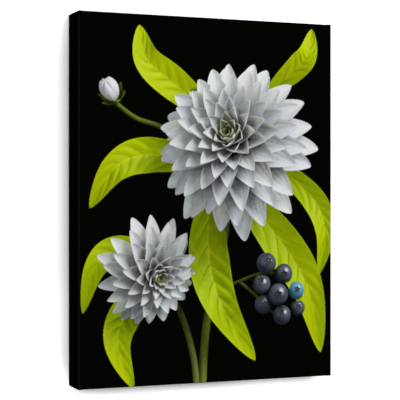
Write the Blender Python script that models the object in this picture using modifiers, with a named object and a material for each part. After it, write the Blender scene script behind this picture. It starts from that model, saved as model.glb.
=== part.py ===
"""A stretched canvas wall print, 12 x 16 in and 1.5 in deep, as hung from one nail.

Four mitred pine stretcher bars carry one cut of canvas, which is folded round their
outer edges and stapled to their backs. A sawtooth hanger is nailed to the top bar,
and two rubber pads keep the lower corners off the wall.

The frame: +X to the viewer's right, +Y into the wall, +Z up. The origin is the root
of the hanger's middle notch, where the wall's nail bears.
"""

import math

import bmesh
import bpy
from mathutils import Matrix, Vector

MM = 0.001

# The finished print, over the canvas
WIDTH = 304.8 * MM
HEIGHT = 406.4 * MM
DEPTH = 38.1 * MM

CLOTH = 0.5 * MM  # canvas with its ground and ink
GAP = 0.3 * MM  # running gap between pieces that touch
FOLD = 19.0 * MM  # how far the canvas is turned over the back
EDGE_R = 2.5 * MM  # canvas round the front edge of a bar
CORNER_R = 1.0 * MM  # canvas round the other edges

BAR_W = 34.0 * MM  # stretcher bar, outer edge to inner edge
BAR_D = DEPTH - 2 * (CLOTH + GAP)
LIP = 7.0 * MM  # the raised outer bead that carries the cloth
RELIEF = 4.0 * MM  # how far the rest of the bar's front falls away from the cloth
MITRE_GAP = 0.15 * MM  # on each side of a mitre

WIRE_T = 0.6 * MM  # staple wire, thick
WIRE_W = 1.2 * MM  # and wide
CROWN = 10.0 * MM
LEG = 8.0 * MM
STAPLE_IN = 9.5 * MM  # staple's distance from the outer edge
JOINT_IN = 27.0 * MM  # the joint staple's, from both outer edges

HANGER_L = 44.0 * MM
HANGER_RAISED = 26.0 * MM  # length of the band that stands off the wood
HANGER_STAND = 2.2 * MM  # clear height behind that band
HANGER_T = 0.9 * MM
HANGER_UP = 8.0 * MM  # band above the notch's root
TOOTH_D = 1.6 * MM
TOOTH_PITCH = 2.0 * MM
TEETH = 11
NAIL_R = 0.8 * MM
NAIL_HEAD_R = 1.9 * MM
NAIL_L = 11.0 * MM

PAD_R = 5.0 * MM
PAD_IN = 10.5 * MM  # pad's centre above the lower edge
PAD_X = 126.0 * MM  # and either side of the middle

# Planes along Y
Y_WOOD = -(HANGER_STAND + GAP + HANGER_T / 2)  # backs of the bars
Y_BACK = Y_WOOD + GAP + CLOTH  # back of the turned-over canvas
Y_FRONT = Y_BACK - DEPTH
Y_WALL = 1.0 * MM  # where the pads meet the wall

# Levels along Z
Z_TOP = 30.0 * MM
Z_LOW = Z_TOP - HEIGHT
Z_MID = (Z_TOP + Z_LOW) / 2

INSET = CLOTH + GAP  # from the canvas's outside to the wood

SIDES = {
    # name: (turn about Y in degrees, outer edge's middle as x and z, length)
    "top": (0, 0, Z_TOP - INSET, WIDTH - 2 * INSET),
    "right": (90, WIDTH / 2 - INSET, Z_MID, HEIGHT - 2 * INSET),
    "bottom": (180, 0, Z_LOW + INSET, WIDTH - 2 * INSET),
    "left": (-90, -WIDTH / 2 + INSET, Z_MID, HEIGHT - 2 * INSET),
}
# Where the staples stand along each side, as shares of the bar's half length
STAPLES = {
    "top": (-0.68, -0.34, 0.0, 0.34, 0.68),
    "bottom": (-0.68, -0.34, 0.0, 0.34, 0.68),
    "left": (-0.78, -0.52, -0.26, 0.0, 0.26, 0.52, 0.78),
    "right": (-0.78, -0.52, -0.26, 0.0, 0.26, 0.52, 0.78),
}


def clear_scene():
    for obj in list(bpy.data.objects):
        bpy.data.objects.remove(obj, do_unlink=True)


def collection(name, shown=True):
    made = bpy.data.collections.new(name)
    bpy.context.scene.collection.children.link(made)
    made.hide_render = not shown
    return made


def material(name, colour, roughness, metallic=0.0):
    made = bpy.data.materials.new(name)
    made.use_nodes = True
    shader = made.node_tree.nodes["Principled BSDF"]
    shader.inputs["Base Color"].default_value = (*colour, 1.0)
    shader.inputs["Roughness"].default_value = roughness
    shader.inputs["Metallic"].default_value = metallic
    made.diffuse_color = (*colour, 1.0)
    return made


def add(name, data, into, finish=None, parent=None):
    obj = bpy.data.objects.new(name, data)
    into.objects.link(obj)
    if finish is not None and not data.materials:
        data.materials.append(finish)
    if parent is not None:
        obj.parent = parent
    return obj


def as_cutter(obj):
    obj.hide_render = True
    obj.display_type = "WIRE"
    return obj


def mesh_from(bm, name):
    bmesh.ops.recalc_face_normals(bm, faces=bm.faces)
    mesh = bpy.data.meshes.new(name)
    bm.to_mesh(mesh)
    bm.free()
    return mesh


def smooth(mesh, degrees=35.0):
    mesh.shade_smooth()
    mesh.set_sharp_from_angle(angle=math.radians(degrees))


def outline_mesh(name, points, thickness):
    """A flat outline in XY made solid by thickness along Z, centred on XY."""
    curve = bpy.data.curves.new(name + "_outline", "CURVE")
    curve.dimensions = "2D"
    curve.fill_mode = "BOTH"
    curve.extrude = thickness / 2
    spline = curve.splines.new("POLY")
    spline.points.add(len(points) - 1)
    for point, (x, y) in zip(spline.points, points):
        point.co = (x, y, 0, 1)
    spline.use_cyclic_u = True
    guide = bpy.data.objects.new(name + "_guide", curve)
    bpy.context.scene.collection.objects.link(guide)
    graph = bpy.context.evaluated_depsgraph_get()
    mesh = bpy.data.meshes.new_from_object(guide.evaluated_get(graph))
    mesh.name = name
    bpy.data.objects.remove(guide, do_unlink=True)
    bpy.data.curves.remove(curve)
    bm = bmesh.new()
    bm.from_mesh(mesh)
    bmesh.ops.remove_doubles(bm, verts=bm.verts, dist=1e-6)
    bmesh.ops.recalc_face_normals(bm, faces=bm.faces)
    bm.to_mesh(mesh)
    bm.free()
    return mesh


def arc(cx, cy, r, start, end, steps):
    """Points on a circle, from start to end degrees."""
    turns = [math.radians(start + (end - start) * i / steps) for i in range(steps + 1)]
    return [(cx + r * math.cos(t), cy + r * math.sin(t)) for t in turns]


def bar_section():
    """A stretcher bar's section: inward from its outer edge, and forward from its back."""
    r = EDGE_R - CLOTH - GAP
    ease = 1.0 * MM
    points = [(0.4 * MM, 0.0), (0.0, 0.4 * MM)]
    points += [(x, y) for x, y in arc(r, BAR_D - r, r, 180, 90, 4)]
    points += [(LIP, BAR_D), (BAR_W, BAR_D - RELIEF)]
    points += [(BAR_W, ease), (BAR_W - ease, 0.0)]
    return points


def bar_mesh(name, length):
    """One bar along local X, outer edge up +Z at the origin, back plane at Y 0, both ends mitred."""
    outline = [(-u, -v) for u, v in bar_section()]
    mesh = outline_mesh(name, outline, length + 2 * MM)
    bm = bmesh.new()
    bm.from_mesh(mesh)
    # The outline's plane becomes the bar's section, and its thickness the bar's length.
    to_bar = Matrix(((0, 0, -1, 0), (0, 1, 0, 0), (1, 0, 0, 0), (0, 0, 0, 1)))
    bmesh.ops.transform(bm, matrix=to_bar, verts=bm.verts)
    for end in (1, -1):
        normal = Vector((end, 0, -1)).normalized()
        middle = Vector((end * length / 2, 0, 0)) - normal * MITRE_GAP
        cut = bmesh.ops.bisect_plane(
            bm,
            geom=bm.verts[:] + bm.edges[:] + bm.faces[:],
            dist=1e-7,
            plane_co=middle,
            plane_no=normal,
            clear_outer=True,
        )
        rim = [e for e in cut["geom_cut"] if isinstance(e, bmesh.types.BMEdge)]
        bmesh.ops.holes_fill(bm, edges=rim)
    bmesh.ops.recalc_face_normals(bm, faces=bm.faces)
    bm.to_mesh(mesh)
    bm.free()
    smooth(mesh)
    return mesh


def side_matrix(side):
    turn, x, z, _ = SIDES[side]
    return Matrix.Translation((x, Y_WOOD, z)) @ Matrix.Rotation(
        math.radians(turn), 4, "Y"
    )


def staple_mesh():
    """A staple in XZ: crown along X on its underside's plane, legs down -Z."""
    half, r = CROWN / 2, 0.5 * MM
    points = [(-half, -LEG), (-half + WIRE_T / 2, -LEG - 0.5 * MM)]
    points += [(-half + WIRE_T, -LEG), (-half + WIRE_T, 0.0)]
    points += [(half - WIRE_T, 0.0), (half - WIRE_T, -LEG)]
    points += [(half - WIRE_T / 2, -LEG - 0.5 * MM), (half, -LEG)]
    points += arc(half - r, WIRE_T - r, r, 0, 90, 2)
    points += arc(-half + r, WIRE_T - r, r, 90, 180, 2)
    return outline_mesh("staple", points, WIRE_W)


def staple_places():
    """{name: (matrix that stands a staple there, side)} for the canvas staples."""
    # The outline's Y is the staple's height, which points to the wall, +Y here.
    made = {}
    for side, shares in STAPLES.items():
        length = SIDES[side][3]
        for i, share in enumerate(shares):
            # Driven by hand, each a little askew, and the mirror of the one opposite
            skew = 7.0 * math.sin(9.0 * share)
            place = (
                side_matrix(side)
                @ Matrix.Translation(
                    (share * length / 2, GAP + CLOTH + GAP, -STAPLE_IN + INSET)
                )
                @ Matrix.Rotation(math.radians(skew), 4, "Y")
            )
            made[f"staple_{side}_{i + 1}"] = (place, side)
    return made


def joint_places():
    """{name: (matrix, the two sides it ties)} for the staples across the mitres."""
    made = {}
    for name, x, z in (
        ("top_left", -1, 1),
        ("top_right", 1, 1),
        ("bottom_right", 1, -1),
        ("bottom_left", -1, -1),
    ):
        cx = x * (WIDTH / 2 - JOINT_IN)
        cz = Z_MID + z * (HEIGHT / 2 - JOINT_IN)
        turn = math.degrees(math.atan2(x * z, 1))  # the crown lies across the mitre
        place = Matrix.Translation((cx, Y_WOOD + GAP, cz)) @ Matrix.Rotation(
            math.radians(turn), 4, "Y"
        )
        upright, level = name.split("_")
        made[f"joint_staple_{name}"] = (place, (upright, level))
    return made


def leg_cutters(name, places, into, height):
    """One mesh of boxes, two for each staple, a gap wider than its legs, from height above the crown's underside down past the legs."""
    bm = bmesh.new()
    for place in places:
        for end in (1, -1):
            low, high = -LEG - 1.2 * MM, height
            at = (
                place
                @ Matrix.Translation(
                    (end * (CROWN / 2 - WIRE_T / 2), (low + high) / 2, 0)
                )
                @ Matrix.Diagonal(
                    (WIRE_T + 2 * GAP, high - low, WIRE_W + 2 * GAP, 1.0)
                )
            )
            bmesh.ops.create_cube(bm, size=1.0, matrix=at)
    return as_cutter(add(name, mesh_from(bm, name), into))


def difference(obj, cutter, name):
    cut = obj.modifiers.new(name, "BOOLEAN")
    cut.operation = "DIFFERENCE"
    cut.object = cutter
    cut.solver = "EXACT"
    return cut


def canvas_mesh():
    """The canvas as a skin with no thickness: front, four sides and the border turned over the back."""
    bm = bmesh.new()
    size = Matrix.Diagonal((WIDTH, DEPTH, HEIGHT, 1.0))
    at = Matrix.Translation((0, (Y_FRONT + Y_BACK) / 2, Z_MID))
    bmesh.ops.create_cube(bm, size=1.0, matrix=at @ size)
    back = [f for f in bm.faces if f.normal.y > 0.9]
    bmesh.ops.inset_region(bm, faces=back, thickness=FOLD, use_even_offset=True)
    bmesh.ops.delete(bm, geom=back, context="FACES")
    weights = bm.edges.layers.float.new("bevel_weight_edge")
    for edge in bm.edges:
        if len(edge.link_faces) != 2 or edge.calc_face_angle() < 0.5:
            continue
        front = all(abs(v.co.y - Y_FRONT) < 1e-6 for v in edge.verts)
        edge[weights] = 1.0 if front else CORNER_R / EDGE_R
    mesh = mesh_from(bm, "canvas")
    mesh.shade_smooth()
    return mesh


def turned(name, profile, steps, into, finish):
    """A solid turned about its own Z axis. The profile is (radius, height), and runs down its outer side."""
    bm = bmesh.new()
    points = [bm.verts.new((r, 0, z)) for r, z in profile]
    for a, b in zip(points, points[1:]):
        bm.edges.new((a, b))
    mesh = bpy.data.meshes.new(name)
    bm.to_mesh(mesh)
    bm.free()
    obj = add(name, mesh, into, finish)
    screw = obj.modifiers.new("Turn", "SCREW")
    screw.axis = "Z"
    screw.angle = math.tau
    screw.steps = screw.render_steps = steps
    screw.use_merge_vertices = True
    screw.merge_threshold = 1e-5
    screw.use_smooth_shade = True
    return obj


def hanger_mesh():
    """The hanger's strip as a skin: feet on the wood, and a band that stands off it."""
    foot = Y_WOOD + GAP
    band = foot + HANGER_STAND
    half, raised, ramp = HANGER_L / 2, HANGER_RAISED / 2, 1.6 * MM
    line = [(-half, foot), (-raised - ramp, foot), (-raised, band)]
    line += [(-x, y) for x, y in reversed(line)]
    bm = bmesh.new()
    low = [bm.verts.new((x, y, -TOOTH_D)) for x, y in line]
    edges = [bm.edges.new(pair) for pair in zip(low, low[1:])]
    grown = bmesh.ops.extrude_edge_only(bm, edges=edges)["geom"]
    risen = [v for v in grown if isinstance(v, bmesh.types.BMVert)]
    bmesh.ops.translate(bm, verts=risen, vec=(0, 0, HANGER_UP + TOOTH_D))
    ends = [v for v in bm.verts if abs(v.co.x) > half - 1e-6]
    bmesh.ops.bevel(
        bm,
        geom=ends,
        offset=1.6 * MM,
        offset_type="OFFSET",
        segments=4,
        profile=0.5,
        affect="VERTICES",
    )
    mesh = mesh_from(bm, "hanger")
    # Solidify grows the strip towards the wall, so its skin faces the wood.
    if max(mesh.polygons, key=lambda f: f.area).normal.y > 0:
        mesh.flip_normals()
    return mesh


def tooth_cutter(into):
    """Notches with a short flat root, one at the middle, along the band's lower edge."""
    bm = bmesh.new()
    root, mouth = 0.7 * MM, TOOTH_PITCH - 0.3 * MM
    for i in range(TEETH):
        x = (i - (TEETH - 1) / 2) * TOOTH_PITCH
        reach = 1.0 * MM  # past the lower edge
        wide = mouth + (mouth - root) * reach / TOOTH_D
        notch = bmesh.ops.create_cone(
            bm,
            cap_ends=True,
            segments=4,
            radius1=wide / math.sqrt(2),
            radius2=root / math.sqrt(2),
            depth=TOOTH_D + reach,
            matrix=Matrix.Translation((x, 0, (-TOOTH_D - reach) / 2))
            @ Matrix.Rotation(math.radians(45), 4, "Z"),
        )
        for v in notch["verts"]:
            v.co.y = 3.0 * MM if v.co.y > 0 else -2.0 * MM
    return as_cutter(add("cut_teeth", mesh_from(bm, "cut_teeth"), into))


def nail_profile():
    """A round-headed nail, its head's underside at height 0."""
    head = 0.8 * MM
    return [
        (0.0, head),
        (NAIL_HEAD_R * 0.6, head * 0.92),
        (NAIL_HEAD_R * 0.9, head * 0.6),
        (NAIL_HEAD_R, head * 0.25),
        (NAIL_HEAD_R * 0.95, 0.0),
        (NAIL_R, 0.0),
        (NAIL_R, -NAIL_L + 2.0 * MM),
        (0.0, -NAIL_L),
    ]


def pad_profile(height):
    """A domed pad with a flat crown, its base at height 0."""
    return [
        (0.0, height),
        (PAD_R * 0.62, height),
        (PAD_R * 0.82, height * 0.9),
        (PAD_R * 0.95, height * 0.62),
        (PAD_R, height * 0.25),
        (PAD_R, 0.0),
        (0.0, 0.0),
    ]


def main():
    clear_scene()
    parts = collection("stretched_canvas_print")
    cutters = collection("cutters", shown=False)

    ink = material("canvas_print", (0.012, 0.013, 0.009), 0.75)
    pine = material("pine", (0.66, 0.47, 0.28), 0.6)
    steel = material("staple_steel", (0.62, 0.62, 0.63), 0.32, 1.0)
    zinc = material("hanger_steel", (0.55, 0.53, 0.48), 0.35, 1.0)
    rubber = material("pad_rubber", (0.05, 0.05, 0.052), 0.7)

    staples = staple_places()
    joints = joint_places()

    # Stretcher bars, each cut for the legs of the staples that stand in it
    lengths = {}
    for side, (_, _, _, length) in SIDES.items():
        if length not in lengths:
            lengths[length] = bar_mesh(f"bar_{round(length / MM)}", length)
        bar = add(f"stretcher_{side}", lengths[length], parts, pine)
        bar.matrix_world = side_matrix(side)
        places = [m for m, where in staples.values() if where == side]
        places += [m for m, where in joints.values() if side in where]
        cutter = leg_cutters(f"cut_legs_{side}", places, cutters, 3.0 * MM)
        difference(bar, cutter, "Leg holes")
        if side == "top":
            bm = bmesh.new()
            for end in (1, -1):
                x = end * (HANGER_L / 2 - 4.5 * MM)
                at = Matrix.Translation((x, Y_WOOD - 4.0 * MM, 3.2 * MM))
                bmesh.ops.create_cone(
                    bm,
                    cap_ends=True,
                    segments=12,
                    radius1=NAIL_R + GAP,
                    radius2=NAIL_R + GAP,
                    depth=18.0 * MM,
                    matrix=at @ Matrix.Rotation(math.radians(90), 4, "X"),
                )
            nails = as_cutter(add("cut_nails", mesh_from(bm, "cut_nails"), cutters))
            difference(bar, nails, "Nail holes")

    # The canvas
    canvas = add("canvas", canvas_mesh(), parts, ink)
    rounded = canvas.modifiers.new("Round edges", "BEVEL")
    rounded.limit_method = "WEIGHT"
    rounded.width = EDGE_R
    rounded.segments = 4
    rounded.use_clamp_overlap = False
    rounded.harden_normals = True
    thick = canvas.modifiers.new("Cloth", "SOLIDIFY")
    thick.thickness = CLOTH
    thick.offset = -1.0
    thick.use_even_offset = True
    cutter = leg_cutters(
        "cut_legs_canvas", [m for m, _ in staples.values()], cutters, 3.0 * MM
    )
    difference(canvas, cutter, "Staple holes")

    # Staples
    wire = staple_mesh()
    for name, (place, _) in {**staples, **joints}.items():
        staple = add(name, wire, parts, steel)
        staple.matrix_world = place

    # The hanger and its nails
    hanger = add("hanger", hanger_mesh(), parts, zinc)
    sheet = hanger.modifiers.new("Sheet", "SOLIDIFY")
    sheet.thickness = HANGER_T
    sheet.offset = -1.0
    sheet.use_even_offset = True
    difference(hanger, tooth_cutter(cutters), "Teeth")
    difference(hanger, nails, "Nail holes")
    for name, end in (("hanger_nail_left", -1), ("hanger_nail_right", 1)):
        nail = turned(name, nail_profile(), 12, parts, zinc)
        x = end * (HANGER_L / 2 - 4.5 * MM)
        nail.location = (x, Y_WOOD + GAP + HANGER_T + GAP, 3.2 * MM)
        nail.rotation_euler = (math.radians(-90), 0, 0)

    # The pads
    rise = Y_WALL - Y_BACK - GAP
    for name, end in (("pad_left", -1), ("pad_right", 1)):
        pad = turned(name, pad_profile(rise), 24, parts, rubber)
        pad.location = (end * PAD_X, Y_BACK + GAP, Z_LOW + PAD_IN)
        pad.rotation_euler = (math.radians(-90), 0, 0)

    bpy.context.view_layer.update()


main()
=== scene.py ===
"""Looks of a stretched canvas wall print: picture, cloth, timber, metal, light and camera.

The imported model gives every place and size. The picture is a still life of cut
flowers on black, grown here from formulas: petals and leaves are curved surfaces,
lit by a soft lamp and seen from straight in front, and the ink that results is
carried by the cloth's own vertices.
"""
import math
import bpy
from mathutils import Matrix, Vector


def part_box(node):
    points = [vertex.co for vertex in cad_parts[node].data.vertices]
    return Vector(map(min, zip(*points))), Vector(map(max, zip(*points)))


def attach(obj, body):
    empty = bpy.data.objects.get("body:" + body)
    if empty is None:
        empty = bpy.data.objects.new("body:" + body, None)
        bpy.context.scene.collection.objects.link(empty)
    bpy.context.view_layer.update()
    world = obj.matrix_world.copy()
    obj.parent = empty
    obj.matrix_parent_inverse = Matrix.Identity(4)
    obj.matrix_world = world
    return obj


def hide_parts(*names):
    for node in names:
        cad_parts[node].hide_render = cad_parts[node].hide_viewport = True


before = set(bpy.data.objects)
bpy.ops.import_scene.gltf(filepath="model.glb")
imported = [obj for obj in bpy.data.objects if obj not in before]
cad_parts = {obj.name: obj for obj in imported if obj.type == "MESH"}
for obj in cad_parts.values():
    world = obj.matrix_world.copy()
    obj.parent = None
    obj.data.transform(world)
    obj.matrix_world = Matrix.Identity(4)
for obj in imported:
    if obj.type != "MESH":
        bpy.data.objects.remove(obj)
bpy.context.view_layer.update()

from concurrent.futures import ThreadPoolExecutor

import bpy
import numpy as np
from mathutils import Vector

MM = 0.001
SCENE = bpy.context.scene

# Where the cloth lies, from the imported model
LOW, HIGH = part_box("canvas")
X_HALF = (HIGH.x - LOW.x) / 2
Z_HALF = (HIGH.z - LOW.z) / 2
X_MID = (HIGH.x + LOW.x) / 2
Z_MID = (HIGH.z + LOW.z) / 2
Y_FRONT, Y_BACK = LOW.y, HIGH.y
DEPTH = Y_BACK - Y_FRONT
Y_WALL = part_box("pad_left")[1].y

CLOTH = 0.5 * MM
FRONT_R = 1.5 * MM  # cloth round the front edge
BACK_R = 1.0 * MM  # round the back edge
CORNER_R = 0.8 * MM  # and round the corners, across the sides
FOLD = 19.0 * MM  # turned over the back
INK_OVER = 12.6 * MM  # how far the black runs over the back


def place_camera():
    """Level with the print's middle, to its left, so that the left side shows."""
    data = bpy.data.cameras.new("camera")
    data.lens = 118.49
    data.sensor_width = 36.0
    camera = bpy.data.objects.new("camera", data)
    SCENE.collection.objects.link(camera)
    camera.location = (X_MID - 0.5746, Y_FRONT - 1.3499, Z_MID + 0.0002)
    camera.rotation_euler = (math.radians(90), 0, math.radians(-22.615))
    SCENE.camera = camera


# ---------------------------------------------------------------------------
# The picture. Millimetres, seen along -Z, with the print's middle at the origin.
# ---------------------------------------------------------------------------

NX, NY = 1024, 1344  # samples across and up the picture
FACE_W, FACE_H = 304.8, 406.4
GOLDEN = 137.508  # degrees


def turn(axis, degrees):
    a = math.radians(degrees)
    c, s = math.cos(a), math.sin(a)
    if axis == "x":
        return np.array([[1, 0, 0], [0, c, -s], [0, s, c]])
    if axis == "y":
        return np.array([[c, 0, s], [0, 1, 0], [-s, 0, c]])
    return np.array([[c, -s, 0], [s, c, 0], [0, 0, 1]])


def unit(v):
    return v / (np.linalg.norm(v, axis=-1, keepdims=True) + 1e-9)


def srgb(x):
    x = np.clip(x, 0, 1)
    return np.where(x <= 0.0031308, x * 12.92, 1.055 * x ** (1 / 2.4) - 0.055)


def linear(*rgb):
    c = np.array(rgb, float) / 255
    return np.where(c <= 0.04045, c / 12.92, ((c + 0.055) / 1.055) ** 2.4)


def hash01(i, k):
    x = np.sin(np.asarray(i, float) * 12.9898 + k * 78.233) * 43758.5453
    return x - np.floor(x)


def curve_through(points):
    """A Catmull-Rom curve through the points, as a function of 0 to 1."""
    pts = np.array(points, float)
    n = len(pts) - 1

    def at(u):
        x = np.clip(u, 0, 1) * n
        i = np.minimum(x.astype(int), n - 1)
        f = (x - i)[..., None]
        a, b, c, d = (pts[np.clip(i + k, 0, n)] for k in (-1, 0, 1, 2))
        return 0.5 * (
            2 * b + (c - a) * f + (2 * a - 5 * b + 4 * c - d) * f**2 + (3 * b - a - 3 * c + d) * f**3
        )

    def frame_at(u):
        """The point, the way on, and the two ways across: level, and up from the curve."""
        t = unit(at(u + 0.004) - at(u - 0.004))
        side = unit(np.cross(np.broadcast_to(np.array([0, 0, 1.0]), t.shape), t))
        return at(u), t, side, np.cross(t, side)

    return frame_at


def petal(length, width, lean, curl, cup, seed, sharp=0.75, ridges=5, shape=0.62):
    """A petal that grows from the origin. lean is its angle from the flower's axis at its base, and curl what it turns by its tip, in degrees."""
    rng = np.random.default_rng(seed)
    ph = rng.uniform(0, 6.28, 6)
    twist = 0.10 * (rng.random() - 0.5)

    def surface(u, v):
        n = 60
        t = np.linspace(0, 1, n)
        a = np.radians(lean + curl * t**1.3)
        dr, da = length * np.sin(a), length * np.cos(a)
        r = np.concatenate([[0], np.cumsum((dr[1:] + dr[:-1]) / 2) / (n - 1)])
        h = np.concatenate([[0], np.cumsum((da[1:] + da[:-1]) / 2) / (n - 1)])
        ru, hu, au = np.interp(u, t, r), np.interp(u, t, h), np.interp(u, t, a)
        w = width * np.sin(np.pi * np.clip(u, 1e-6, 1) ** shape) ** sharp
        bend = cup * (1.0 - 0.45 * u + 0.5 * u**6) * 1.35
        across = w * np.sin(bend * v) / bend
        rise = w * (1 - np.cos(bend * v)) / bend
        rise = rise + 0.016 * w * np.cos(ridges * np.pi * v) * np.sin(np.pi * u) ** 0.5
        rise = rise + 0.05 * w * v**2 * np.sin(5 * u + ph[0]) + 0.05 * w * v**3 * np.sin(7 * u + ph[1])
        across = across + length * twist * u**2
        return np.stack([ru - np.cos(au) * rise, across, hu + np.sin(au) * rise], -1)

    return surface


def blade(points, width, fold, seed, peak=0.42, wave=0.06, veins=9):
    """A leaf along a spine. It is creased along its middle, and quilted between its side veins."""
    spine = curve_through(points)
    ph = np.random.default_rng(seed).uniform(0, 6.28)

    def surface(u, v):
        c, _, side, up = spine(u)
        k = math.log(0.5) / math.log(peak)
        w = width * np.sin(np.pi * np.clip(u, 1e-6, 1 - 1e-6) ** k) ** 0.85
        av = np.abs(v)
        vein = np.sin(2 * np.pi * (veins * u - 1.6 * av - 0.25))
        rise = fold * w * av**1.25
        rise = rise - 0.045 * w * np.maximum(vein, 0) ** 6 * (1 - av)
        rise = rise + 0.030 * w * np.cos(2 * np.pi * (veins * u - 1.6 * av)) * np.sin(np.pi * av)
        rise = rise + wave * width * av**2 * np.sin(2 * np.pi * 2.3 * u + ph + 1.4 * np.sign(v))
        across = w * v * (1 - 0.25 * fold * av)
        return c + side * across[..., None] + up * rise[..., None]

    return surface


def tube(points, r0, r1):
    spine = curve_through(points)

    def surface(u, v):
        c, _, side, up = spine(u)
        r = r0 + (r1 - r0) * u
        a = np.pi * v
        return c + (side * np.sin(a)[..., None] + up * np.cos(a)[..., None]) * r[..., None]

    return surface


def ball(radius):
    def surface(u, v):
        a, b = 2 * np.pi * u, np.pi * v / 2
        return radius * np.stack([np.cos(b) * np.cos(a), np.cos(b) * np.sin(a), np.sin(b)], -1)

    return surface


class Thing:
    """One surface of the still life. size is its length and width, for the spacing of its samples."""

    def __init__(self, kind, surface, size, place=None, at=(0, 0, 0), seed=0, tone=0.0):
        self.kind, self.surface, self.size = kind, surface, size
        self.place = np.eye(3) if place is None else place
        self.at = np.array(at, float)
        self.seed, self.tone = seed, tone

    def points(self, step):
        nu = max(8, int(self.size[0] / step) + 1)
        nv = max(8, int(self.size[1] / step) + 1)
        u, v = np.meshgrid(np.linspace(0, 1, nu), np.linspace(-1, 1, nv), indexing="ij")
        return u, v, self.surface(u, v) @ self.place.T + self.at


def path_length(points):
    return np.linalg.norm(np.diff(np.array(points, float), axis=0), axis=1).sum()


def bloom(at, radius, petals, tilt, turned, seed, first=4.0, last=104.0):
    """A double flower, its petals set at the golden angle: the inner ones cupped, the outer ones laid back."""
    rng = np.random.default_rng(seed)
    place = turn("y", tilt[0]) @ turn("x", tilt[1]) @ turn("z", turned)
    for k in range(petals):
        s = (k + 0.5) / petals  # 0 at the heart, 1 outside
        lean = first + (last - first) * s**0.72
        length = radius * (0.20 + 0.80 * s**0.62) * rng.uniform(0.96, 1.03)
        width = radius * (0.085 + 0.125 * s**0.55) * rng.uniform(0.94, 1.05)
        curl = (-34 + 66 * s**0.6) * 0.55 + rng.uniform(-3, 3)
        way = turn("z", k * GOLDEN + rng.uniform(-2.5, 2.5))
        base = place @ (way @ np.array([radius * 0.035, 0, radius * (0.10 - 0.16 * s)]))
        made = petal(length, width, lean, curl, 1.25 - 0.62 * s**0.7, seed * 1000 + k, sharp=0.62, shape=0.70)
        yield Thing(
            "petal", made, (length * 1.05, width * 2.3), place @ way, np.array(at) + base, seed * 1000 + k, s
        )


def bud(at, radius, tilt, seed):
    """A flower still shut: petals folded over each other, in a cup of sepals."""
    place = turn("y", tilt[0]) @ turn("x", tilt[1])
    at = np.array(at, float)
    for k in range(26):
        s = (k + 0.5) / 26
        length = radius * (0.92 + 0.10 * s)
        made = petal(
            length, radius * 0.30, 26 + 26 * s, -78 - 20 * s, 1.5, seed * 1000 + k, sharp=0.6, shape=0.75
        )
        yield Thing(
            "petal", made, (length * 1.05, radius * 0.9), place @ turn("z", k * GOLDEN), at,
            seed * 1000 + k, 0.25 + 0.6 * s,
        )
    for k in range(6):
        made = petal(radius * 0.62, radius * 0.20, 66, -42, 0.8, seed * 1000 + 100 + k)
        yield Thing(
            "sepal", made, (radius * 0.7, radius * 0.6), place @ turn("z", 60 * k + 11),
            at - place @ np.array([0, 0, 1.6]), seed * 1000 + 100 + k, 0.5,
        )


def leaf(points, width, fold, seed):
    yield Thing("leaf", blade(points, width, fold, seed), (path_length(points) * 1.08, width * 2.5), seed=seed)


def stem(points, r0, r1, seed):
    yield Thing("stem", tube(points, r0, r1), (path_length(points) * 1.05, 6.9 * r0), seed=seed)


def berry(at, radius, seed, tone=0.0):
    """A round berry, with the dry star where its flower was."""
    yield Thing("berry", ball(radius), (2 * np.pi * radius, np.pi * radius), at=at, seed=seed, tone=tone)
    way = turn("y", 25 * (hash01(seed, 3) - 0.3)) @ turn("x", 30 * (hash01(seed, 4) - 0.9))
    top = np.array(at, float) + way @ np.array([0, 0, radius * 0.985])
    for k in range(5):
        made = petal(radius * 0.42, radius * 0.13, 74, 30, 0.3, seed * 7 + k)
        place = way @ turn("z", 72 * k + 40 * hash01(seed, 5))
        yield Thing("star", made, (radius * 0.6, radius * 0.4), place, top, seed)


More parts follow.
